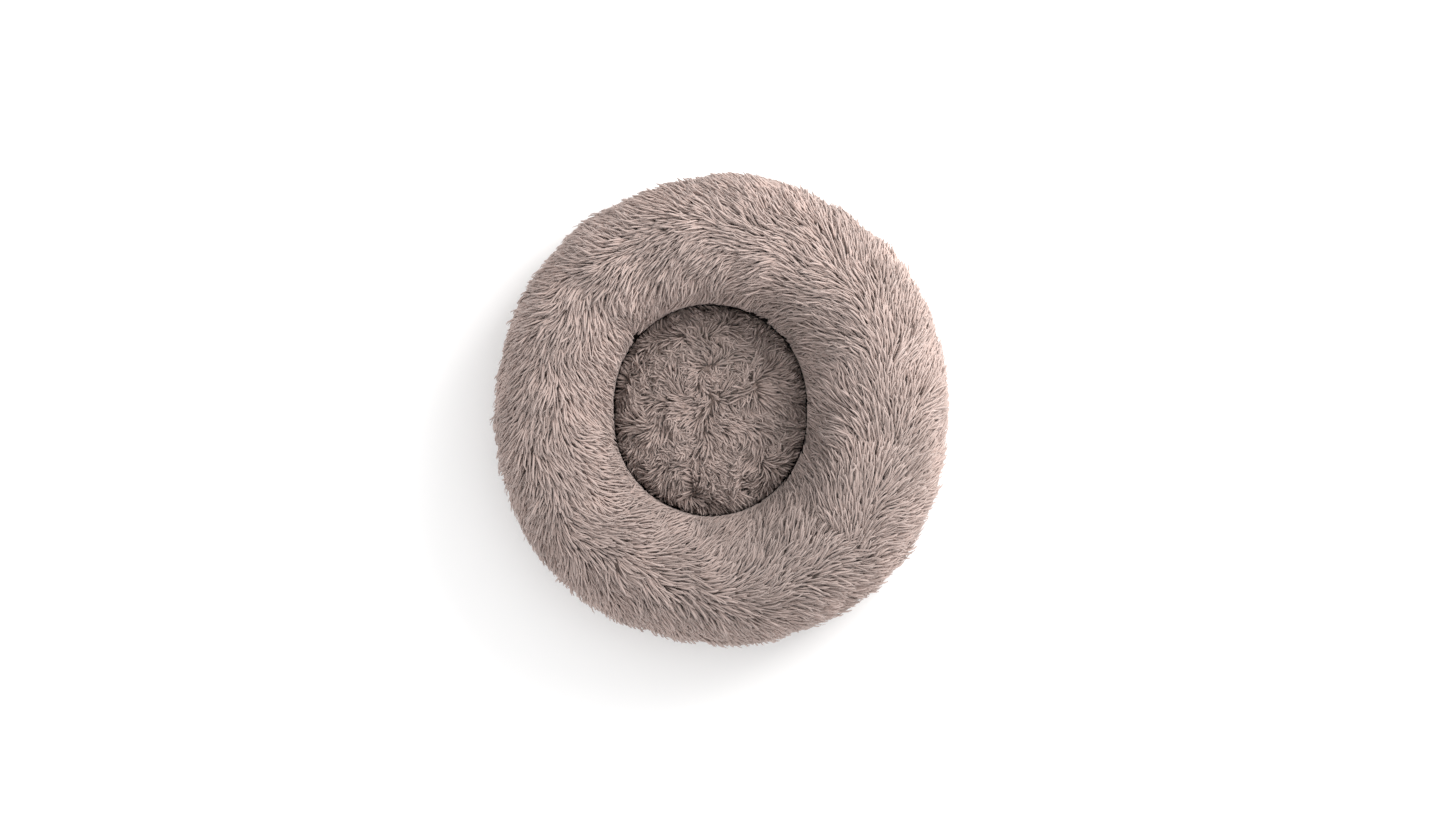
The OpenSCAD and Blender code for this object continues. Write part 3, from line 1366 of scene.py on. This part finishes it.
    def over_zip(self, spot: Array, clearance: float) -> Array:
        """Lifts the underside of a layer over the zip's recess.

        Args:
            spot: the layer's points.
            clearance: how far above the recess the layer passes.

        Returns:
            The points with those over the recess raised.
        """
        s, edge = self.sizes, 14 * MM
        over = 1 - smoothstep(14 * MM, 42 * MM, spot[:, 2])
        for axis in (0, 1):
            low, high = s.zip_low[axis], s.zip_high[axis]
            over *= smoothstep(low - edge, low - 3 * MM, spot[:, axis])
            over *= smoothstep(high + edge, high + 3 * MM, spot[:, axis])
        lifted = spot.copy()
        lifted[:, 2] += (s.zip_high.z + clearance - s.floor_z) * over
        return lifted

    def lie(self, spot: Array, normal: Array) -> Array:
        """The way the pile lies: round the ring on the crown, and over its sides on both flanks.

        Args:
            spot: the roots' places.
            normal: the surface normals there.

        Returns:
            Unit directions along the surface.
        """
        outward, _ = plan_radial(spot, self.sizes.well_x / 2, self.sizes.straight)
        turn = np.stack([-outward[:, 1], outward[:, 0], np.zeros(len(spot))], -1)
        along = along_surface(turn, normal)
        over = np.cross(along, normal)
        flank = dot(normal, outward)
        angle = np.radians(self.sweep) * signed_power(flank - self.sweep_balance, self.sweep_power)
        angle += ripples_at(self.sway, spot) * (1 - 0.55 * smoothstep(0.4, 0.95, flank))
        back, front = self.seam_offset(spot)
        crown = bell(flank, 0.75)
        before, after = self.parting_widths
        angle += crown * (front < 0) * self.parting * bell(front, before)
        angle -= crown * (front >= 0) * self.parting * bell(front, after)
        angle += crown * np.sign(-back) * self.tuck_turn * bell(back, self.tuck_turn_width)
        return np.cos(angle)[:, None] * along + np.sin(angle)[:, None] * over

    def share(self, spot: Array, normal: Array) -> Array:
        """How much of the full density the pile has: none underneath, less where it is hidden.

        Args:
            spot: places on the skin.
            normal: the surface normals there.

        Returns:
            A share from 0 to 1 for each place.
        """
        s = self.sizes
        outward, _ = plan_radial(spot, s.well_x / 2, s.straight)
        flank = dot(normal, outward)
        chance = smoothstep(3 * MM, 7 * MM, spot[:, 2]) * smoothstep(-0.93, -0.7, normal[:, 2])
        chance *= 1 - 0.45 * smoothstep(-0.2, -0.6, normal[:, 2])
        under_cushion = smoothstep(s.cushion_top, s.cushion_top - 25 * MM, spot[:, 2])
        hidden = smoothstep(-0.5, -0.8, flank) * under_cushion
        return chance * (1 - 0.6 * hidden)

    def pile(self, skin: bpy.types.Object) -> None:
        """Plants the ring's pile and parts it into pieces along the seams.

        Args:
            skin: the ring's skin, which the tufts grow from.
        """
        s = self.sizes
        pile = Pile(self.tuft, 5)
        spot, normal = pile.scatter(skin, self.density, self.share)
        roots = Roots(spot, normal, self.lie(spot, normal))
        outward, _ = plan_radial(spot, s.well_x / 2, s.straight)
        flank = dot(normal, outward)
        beside_cushion = smoothstep(s.cushion_top + 20 * MM, s.cushion_top - 15 * MM, spot[:, 2])
        pressed = smoothstep(-0.5, -0.85, flank) * beside_cushion
        length = 1 - self.pressed_cut * pressed
        length *= 1 - self.foot_cut * smoothstep(26 * MM, 8 * MM, spot[:, 2])
        length *= 1 - self.flank_cut * smoothstep(0.5, 0.95, flank)
        length *= 1 + self.uneven_length.at(spot)
        odd = self.tone_spread * pile.rng.normal(size=len(spot)).clip(-2.2, 2.2)
        tone = 1 + self.uneven_tone.at(spot) + odd
        # Painted shade: darker tufts on the crown and inner slope, most of all in a patch round
        # bearing -68 degrees.
        angle = np.degrees(np.arctan2(spot[:, 1], spot[:, 0] - s.well_x))
        painted_shade_patch = bell(degrees_from(angle, self.painted_shade_bearing), self.painted_shade_width)
        tone -= (self.crown_painted_shade + self.patch_painted_shade * painted_shade_patch) * (1 - smoothstep(0.3, 0.8, flank))
        # Painted light and shade: lighter tufts where the inner wall faces bearing 150 degrees,
        # darker where it faces away.
        facing = np.cos(np.radians(angle - self.wall_light_bearing))
        tone += self.wall_painted_light * facing * smoothstep(0.0, -0.6, flank)
        lift = self.uneven_lift.at(spot) - self.flank_settle * smoothstep(0.45, 0.9, flank)
        spots, strand, shade = pile.grow(roots, self.tuft_sizes, length, tone, lift, 0.6 * MM)
        self.clear_well(spots)
        angle = (np.arctan2(spot[:, 1], spot[:, 0] - s.well_x) - self.seam_angle) % TAU
        part = np.minimum((angle / TAU * 2 * self.sectors).astype(int), 2 * self.sectors - 1)
        for index in range(2 * self.sectors):
            side = "left" if index < self.sectors else "right"
            mine = part == index
            piece = pile.mesh(f"bolster_pile_{side}_{index % self.sectors + 1}",
                              spots[mine], strand[mine], shade[mine])
            place_piece(piece, Body.BOLSTER, "ring_pile")

    def clear_well(self, spots: Array) -> None:
        """Presses back the tips over the well and keeps the pile on top of the base panel.

        Args:
            spots: the vertex places by tuft, changed in place.
        """
        s = self.sizes
        flat = spots.reshape(-1, 3)
        _, from_middle = plan_radial(flat, 0.0, s.straight)
        low = np.where(from_middle < s.base_radius + 4 * MM, s.floor_z + 0.5 * MM, 0.6 * MM)
        flat[:, 2] = np.maximum(flat[:, 2], low + 0.03 * np.maximum(low - flat[:, 2], 0))
        outward, distance = plan_radial(flat, s.well_x, s.straight)
        short = np.maximum(s.well_radius - self.well_clearance - distance, 0)
        flat += outward * (short * PRESS_BACK)[:, None]


# ---------------------------------------------------------------- cushion


@dataclass
class Cushion:
    """The loose cushion: plush top, plain back, inner bag, stuffing and ruffled pile."""

    sizes: BedSizes
    tuft: Tuft
    pile_depth: float = 11.0 * MM
    side_depth: float = 4.0 * MM
    side_reach: float = 2.2 * MM
    crown_power: float = 4.8
    foot_power: float = 3.6
    cloth: float = 1.4 * MM
    swell: float = 3.0 * MM
    density: float = 165_000.0
    bag_depth: float = 2.2 * MM
    stuffing_depth: float = 3.6 * MM
    lumps: tuple[Ripple, ...] = (Ripple(41, 0.09, 1.6 * MM), Ripple(42, 0.04, 0.8 * MM))
    highest_lump: float = 2 * MM
    whorls: tuple[tuple[float, float, float], ...] = (
        (-21 * MM, 12 * MM, 1.0), (-11 * MM, 82 * MM, 0.55))
    whorl_reach: float = 0.016
    whorl_lift: float = 0.25
    whorl_cut: float = 0.3
    drift: tuple[Ripple, ...] = (Ripple(53, 0.05, 10.0), Ripple(54, 0.05, 10.0))
    ruffle: tuple[Ripple, ...] = (Ripple(51, 0.05, 0.75), Ripple(52, 0.022, 0.3))
    rim_pull: float = 0.7
    rim_cut: float = 0.36
    rim_lift: float = 0.18
    uneven_length: Ripple = Ripple(61, 0.03, 0.08)
    uneven_tone: Ripple = Ripple(62, 0.04, 0.05)
    tone_spread: float = 0.05
    uneven_lift: Ripple = Ripple(63, 0.03, 0.14)
    tuft_sizes: TuftSizes = field(default_factory=lambda: TuftSizes(
        length=21 * MM, width=2.8 * MM, length_spread=0.18, root_lift=1.1, tip_lift=0.12,
        lift_spread=0.16, curl=0.55, stray=0.14))

    def build(self) -> None:
        """Builds and dresses every piece of the cushion."""
        skin = self.skin()
        s = self.sizes
        seam = Vector((0, 0, s.seam_z))
        top = self.cut(skin, "cushion_cloth_top", seam, Vector((0, 0, -1)))
        place_piece(top, Body.CUSHION, "plush_backing", ["cushion_cover"])
        below = seam - Vector((0, 0, 0.05 * MM))
        back = self.cut(skin, "cushion_cloth_back", below, Vector((0, 0, 1)))
        place_piece(back, Body.CUSHION, "cushion_back", ["cushion_back"])
        self.layer(skin, "cushion_inner_bag", self.bag_depth, "liner_cloth", "liner_cloth",
                   "cushion_liner")
        self.layer(skin, "cushion_stuffing", self.stuffing_depth, "fibre_fill", "wadding",
                   "cushion_fill")
        self.pile(skin)
        Bench.discard(skin)

    def skin(self) -> bpy.types.Object:
        """Models the cushion's closed form, softly domed and flat where it lies.

        Returns:
            The cushion's skin.
        """
        s = self.sizes
        Bench.clear()
        bpy.ops.mesh.primitive_uv_sphere_add(segments=112, ring_count=56, radius=1.0)
        skin = Bench.take("cushion_skin")
        Bench.order_faces(skin)
        spot = points_of(skin)
        turn = np.arctan2(spot[:, 1], spot[:, 0])
        rise, reach = spot[:, 2].clip(-1, 1), np.sqrt(np.maximum(1 - spot[:, 2] ** 2, 0))
        power = 2 / np.where(rise >= 0, self.crown_power, self.foot_power)
        slack = Puff.TAKEN_UP * self.swell
        edge = Outline(s.cushion_radius, s.straight, s.well_x).at(turn, self.side_depth + slack)
        middle = np.array([s.well_x, 0.0])
        plan = middle + (edge - middle) * (reach ** power)[:, None]
        rise = signed_power(rise, power)
        top, foot = s.cushion_top - self.pile_depth - slack, s.floor_z + 0.2 * MM
        height = s.seam_z + np.where(rise >= 0, top - s.seam_z, s.seam_z - foot) * rise
        move_points(skin, np.column_stack([plan, height]))
        Bench.tidy(skin)
        Bench.smooth(skin)
        held = 1 - smoothstep(4 * MM, 14 * MM, points_of(skin)[:, 2])
        Puff.swell(skin, self.swell, held)
        spot, normal = points_of(skin), normals_of(skin)
        free = smoothstep(0.2, 0.8, normal[:, 2])
        raised = np.minimum(ripples_at(self.lumps, spot), self.highest_lump) * free
        move_points(skin, spot + normal * raised[:, None])
        return skin

    def cut(self, skin: bpy.types.Object, name: str, point: Vector,
            away: Vector) -> bpy.types.Object:
        """Cuts one panel out of the skin and gives the cloth its thickness.

        Args:
            skin: the closed skin.
            name: the new piece's name.
            point: a point of the cut.
            away: direction of the side that goes.

        Returns:
            The panel.
        """
        panel = Bench.copy(skin, name)
        Bench.trim(panel, point, away)
        Bench.apply(panel, "SOLIDIFY", thickness=self.cloth, offset=-1.0)
        Bench.tidy(panel, 1e-6)
        Bench.smooth(panel)
        return panel

    def layer(self, skin: bpy.types.Object, name: str, depth: float, slot: str, finish: str,
              node: str) -> None:
        """Makes an inner layer that follows the skin.

        Args:
            skin: the closed skin.
            name: the new piece's name.
            depth: how far the layer lies inside the skin.
            slot: not used.
            finish: the finish it wears.
            node: the node that it stands for.
        """
        layer = Bench.copy(skin, name)
        move_points(layer, points_of(layer) - normals_of(layer) * depth)
        Bench.smooth(layer)
        place_piece(layer, Body.CUSHION, finish, [node])

    def lie(self, spot: Array, normal: Array) -> Array:
        """The way the cushion's pile lies: away from its whorls, ruffled, and down at the rim.

        Args:
            spot: the roots' places.
            normal: the surface normals there.

        Returns:
            Unit directions along the surface.
        """
        s = self.sizes
        flow = np.zeros_like(spot)
        for x, y, weight in self.whorls:
            away = spot - np.array([x, y, 0])
            away[:, 2] = 0
            flow += weight * away / (np.square(away).sum(axis=1, keepdims=True) + 1e-3)
        flow[:, :2] += np.column_stack([ripple.at(spot) for ripple in self.drift])
        ruffle = ripples_at(self.ruffle, spot)
        calm = smoothstep(-30 * MM, 25 * MM, spot[:, 0] - 0.4 * spot[:, 1])
        ruffle *= 1.25 - 0.75 * calm
        outward, distance = plan_radial(spot, s.well_x, s.straight)
        rim = smoothstep(s.cushion_radius - 24 * MM, s.cushion_radius - 10 * MM, distance)[:, None]
        flow = unit(unit(flow) * (1 - self.rim_pull * rim) + outward * self.rim_pull * rim)
        turned = np.column_stack([flow[:, 0] * np.cos(ruffle) - flow[:, 1] * np.sin(ruffle),
                                  flow[:, 0] * np.sin(ruffle) + flow[:, 1] * np.cos(ruffle),
                                  np.zeros(len(spot))])
        steep = smoothstep(0.35, 0.0, normal[:, 2])[:, None]
        turned = turned * (1 - steep) + np.array([0, 0, -1.0]) * steep
        return along_surface(turned, normal)

    def share(self, spot: Array, normal: Array) -> Array:
        """How much of the full density the pile has: none under the seam, less on the side.

        Args:
            spot: places on the skin.
            normal: the surface normals there.

        Returns:
            A share from 0 to 1 for each place.
        """
        seam_z = self.sizes.seam_z
        above_seam = smoothstep(seam_z, seam_z + 3 * MM, spot[:, 2])
        return above_seam * (0.55 + 0.45 * smoothstep(0.1, 0.5, normal[:, 2]))

    def pile(self, skin: bpy.types.Object) -> None:
        """Plants the cushion's pile.

        Args:
            skin: the cushion's skin, which the tufts grow from.
        """
        s = self.sizes
        pile = Pile(self.tuft, 6)
        spot, normal = pile.scatter(skin, self.density, self.share)
        roots = Roots(spot, normal, self.lie(spot, normal))
        _, distance = plan_radial(spot, s.well_x, s.straight)
        rim = smoothstep(s.cushion_radius - 26 * MM, s.cushion_radius - 10 * MM, distance)
        length = (1 - self.rim_cut * rim) * (1 + self.uneven_length.at(spot))
        odd = self.tone_spread * pile.rng.normal(size=len(spot)).clip(-2.2, 2.2)
        tone = 1 + self.uneven_tone.at(spot) + odd
        lift = self.uneven_lift.at(spot) + self.rim_lift * rim
        for x, y, _ in self.whorls:
            away = np.hypot(spot[:, 0] - x, spot[:, 1] - y)
            near = np.exp(-away ** 2 / self.whorl_reach ** 2)
            lift += self.whorl_lift * near
            length *= 1 - self.whorl_cut * near
        spots, strand, shade = pile.grow(roots, self.tuft_sizes, length, tone, lift, s.floor_z)
        flat = spots.reshape(-1, 3)
        outward, distance = plan_radial(flat, s.well_x, s.straight)
        past = np.maximum(distance - s.cushion_radius - self.side_reach, 0)
        flat -= outward * (past * PRESS_BACK)[:, None]
        piece = pile.mesh("cushion_pile", spots, strand, shade)
        place_piece(piece, Body.CUSHION, "cushion_pile")


# ---------------------------------------------------------------- base and zip


def dress_node(node: str, finish: str) -> None:
    """Gives a carried-over node its finish."""
    Wardrobe.dress(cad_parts[node], finish)
    LOG.info("%-26s dressed in %s", node, finish)


@dataclass
class Base:
    """The base panel's finish, its binding tape and every row of stitches."""

    sizes: BedSizes
    binding_width: float = 9 * MM
    binding_around: int = 240
    binding_across: int = 16
    fold_power: float = 0.6
    pucker: float = 0.12
    puckers: int = 170
    zip_rows: tuple[float, float] = (1.5 * MM, 6 * MM)
    label_row_in: float = 13.5 * MM
    label_row_half: float = 9 * MM
    stitch: float = 3.1 * MM
    stitch_gap: float = 1.4 * MM
    thread: float = 0.55 * MM

    def build(self) -> None:
        """Dresses the base's nodes and adds binding and stitches."""
        for node, finish in (("base_panel", "base_cloth"), ("grip_dots", "grip_rubber"),
                             ("care_label", "label_satin"), ("zip_gusset", "base_cloth")):
            dress_node(node, finish)
        self.binding()
        self.stitches()

    def outline(self) -> Outline:
        """The base panel's outline."""
        low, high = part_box("base_panel")
        return Outline((high.x - low.x) / 2, self.sizes.straight)

    def binding(self) -> None:
        """Folds a tape over the panel's edge, where the plush is sewn on."""
        low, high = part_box("base_panel")
        tape, turn, lap = Bench.ring("base_binding", self.binding_around, self.binding_across, 0.1)
        reach = signed_power(np.cos(lap), self.fold_power)
        rise = signed_power(np.sin(lap), self.fold_power)
        pucker = 1 + self.pucker * np.sin(turn * self.puckers)
        bottom, top = low.z - 0.12 * MM, high.z + 1.1 * MM
        height = (top + bottom) / 2 + (top - bottom) / 2 * rise
        height = np.where(rise < 0, height, bottom + (height - bottom) * (0.9 + 0.1 * pucker))
        edge = self.outline().at(turn)
        side = np.column_stack([np.cos(turn), np.sin(turn)])
        plan = edge + side * (reach * self.binding_width / 2 - self.binding_width * 0.22)[:, None]
        move_points(tape, np.column_stack([plan, height]))
        Bench.tidy(tape)
        Bench.smooth(tape)
        place_piece(tape, Body.BOLSTER, "binding_tape")

    def rows(self) -> Iterable[Array]:
        """Lays out the rows of stitches: round the binding, round the zip and on the label.

        Yields:
            The corner points of one row.
        """
        low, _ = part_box("base_panel")
        turn = np.linspace(0, TAU, 721)
        ring = self.outline().at(turn, self.binding_width * 0.45)
        yield np.column_stack([ring, np.full(len(ring), low.z - 0.16 * MM)])
        zip_low, zip_high = self.sizes.zip_low, self.sizes.zip_high
        for step in self.zip_rows:
            x0, x1 = zip_low.x - step, zip_high.x + step
            y0, y1 = zip_low.y - step, zip_high.y + step
            box = np.array([[x0, y0], [x1, y0], [x1, y1], [x0, y1], [x0, y0]])
            yield np.column_stack([box, np.full(5, low.z - 0.03 * MM)])
        tag_low, tag_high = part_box("care_label")
        middle = np.array([(tag_low.x + tag_high.x) / 2, (tag_low.y + tag_high.y) / 2])
        out = middle / np.linalg.norm(middle)
        side = np.array([-out[1], out[0]])
        start = middle - out * self.label_row_in
        ends = np.stack([start - side * self.label_row_half, start + side * self.label_row_half])
        yield np.column_stack([ends, np.full(2, tag_low.z - 0.03 * MM)])

    def stitches(self) -> None:
        """Models one stitch and copies it along every row."""
        Bench.clear()
        bpy.ops.mesh.primitive_uv_sphere_add(segments=6, ring_count=4, radius=0.5)
        stitch = Bench.take("stitch")
        Bench.order_faces(stitch)
        shape = points_of(stitch)[:, [2, 1, 0]]
        shape[:, 0] = signed_power(shape[:, 0] * 2, 0.6) / 2
        shape *= np.array([self.stitch, self.thread, self.thread])
        move_points(stitch, shape)
        Bench.tidy(stitch, 1e-6)
        shape = points_of(stitch)
        corners = [tuple(face.vertices) for face in stitch.data.polygons]
        points, faces = [], []
        for row in self.rows():
            leg = np.linalg.norm(np.diff(row, axis=0), axis=1)
            run = np.concatenate([[0], np.cumsum(leg)])
            count = max(2, round(run[-1] / (self.stitch + self.stitch_gap)))
            at = (np.arange(count) + 0.5) / count * run[-1]
            place = np.column_stack([np.interp(at, run, row[:, i]) for i in range(3)])
            steps = [np.interp(at + 1e-4, run, row[:, i]) - np.interp(at - 1e-4, run, row[:, i])
                     for i in range(3)]
            ahead = unit(np.column_stack(steps))
            for spot, way in zip(place, ahead):
                beside = np.array([-way[1], way[0], 0])
                start = len(points) * len(shape)
                points.append(spot + shape[:, :1] * way + shape[:, 1:2] * beside
                              + shape[:, 2:] * np.array([0, 0, 1.0]))
                faces += [tuple(start + i for i in face) for face in corners]
        mesh = bpy.data.meshes.new("base_stitching")
        mesh.from_pydata(np.concatenate(points).tolist(), [], faces)
        rows = Bench.link("base_stitching", mesh)
        Bench.discard(stitch)
        Bench.smooth(rows)
        place_piece(rows, Body.BOLSTER, "thread")


@dataclass
class Zip:
    """The zip's finishes; its shapes are the part's own."""

    finishes: tuple[tuple[str, str], ...] = (
        ("zip_tape_front", "zip_tape"), ("zip_tape_rear", "zip_tape"),
        ("zip_coil_front", "coil_nylon"), ("zip_coil_rear", "coil_nylon"),
        ("zip_stops", "zip_metal"), ("zip_slider", "zip_metal"), ("zip_pull", "zip_metal"))

    def build(self) -> None:
        """Dresses the zip's nodes."""
        for node, finish in self.finishes:
            dress_node(node, finish)


# ---------------------------------------------------------------- studio


@dataclass(frozen=True)
class Lamp:
    """One square soft light that points at the bed."""

    name: str
    place: tuple[float, float, float]
    size: float
    power: float
    colour: Colour

    def hang(self) -> None:
        """Puts the light in the scene."""
        data = bpy.data.lights.new(self.name, "AREA")
        data.size, data.energy, data.color = self.size, self.power, self.colour
        lamp = Bench.link(self.name, data)
        lamp.location = self.place
        lamp.rotation_mode = "QUATERNION"
        lamp.rotation_quaternion = (-Vector(self.place)).to_track_quat("-Z", "Y")


@dataclass
class Studio:
    """White floor, soft light from the upper right and a camera straight above."""

    frame_width: float = 1.818
    aim: tuple[float, float] = (0.0004, 0.0046)
    aim_height: float = 0.08
    lens: float = 85.0
    sensor: float = 36.0
    floor_size: float = 14.0
    sky: float = 1.1
    lamps: tuple[Lamp, ...] = (
        Lamp("key", (0.86, 0.76, 0.88), 1.0, 22.0, (1.0, 0.985, 0.965)),
        Lamp("fill", (-2.2, -1.2, 1.8), 2.4, 2.0, (0.96, 0.98, 1.0)))

    def build(self) -> None:
        """Sets up floor, lights, world and camera."""
        Bench.clear()
        bpy.ops.mesh.primitive_plane_add(size=self.floor_size)
        floor = Bench.take("studio_floor")
        shader = Shader("studio_floor")
        shader.set(roughness=0.9, specular_ior_level=0.1)
        shader.surface.inputs["Base Color"].default_value = (0.96, 0.96, 0.96, 1)
        floor.data.materials.append(shader.material)
        world = bpy.data.worlds.new("studio")
        bpy.context.scene.world = world
        world.use_nodes = True
        sky = world.node_tree.nodes["Background"]
        sky.inputs["Color"].default_value = (1.0, 1.0, 1.0, 1)
        sky.inputs["Strength"].default_value = self.sky
        for lamp in self.lamps:
            lamp.hang()
        camera = bpy.data.cameras.new("camera")
        camera.lens = self.lens
        camera.sensor_width = self.sensor
        mount = Bench.link("camera", camera)
        rise = self.frame_width * self.lens / camera.sensor_width
        mount.location = (*self.aim, self.aim_height + rise)
        camera.clip_end = 60
        bpy.context.scene.camera = mount
        bpy.context.scene.view_settings.view_transform = "Standard"


def main() -> None:
    """Builds every sub-assembly in order."""
    logging.basicConfig(level=logging.INFO, format="%(message)s")
    Studio().build()
    sizes = BedSizes.from_frame()
    tuft = Tuft()
    Bolster(sizes, tuft).build()
    Cushion(sizes, tuft).build()
    Base(sizes).build()
    Zip().build()
    Bench.clear()


if __name__ == "__main__":
    main()
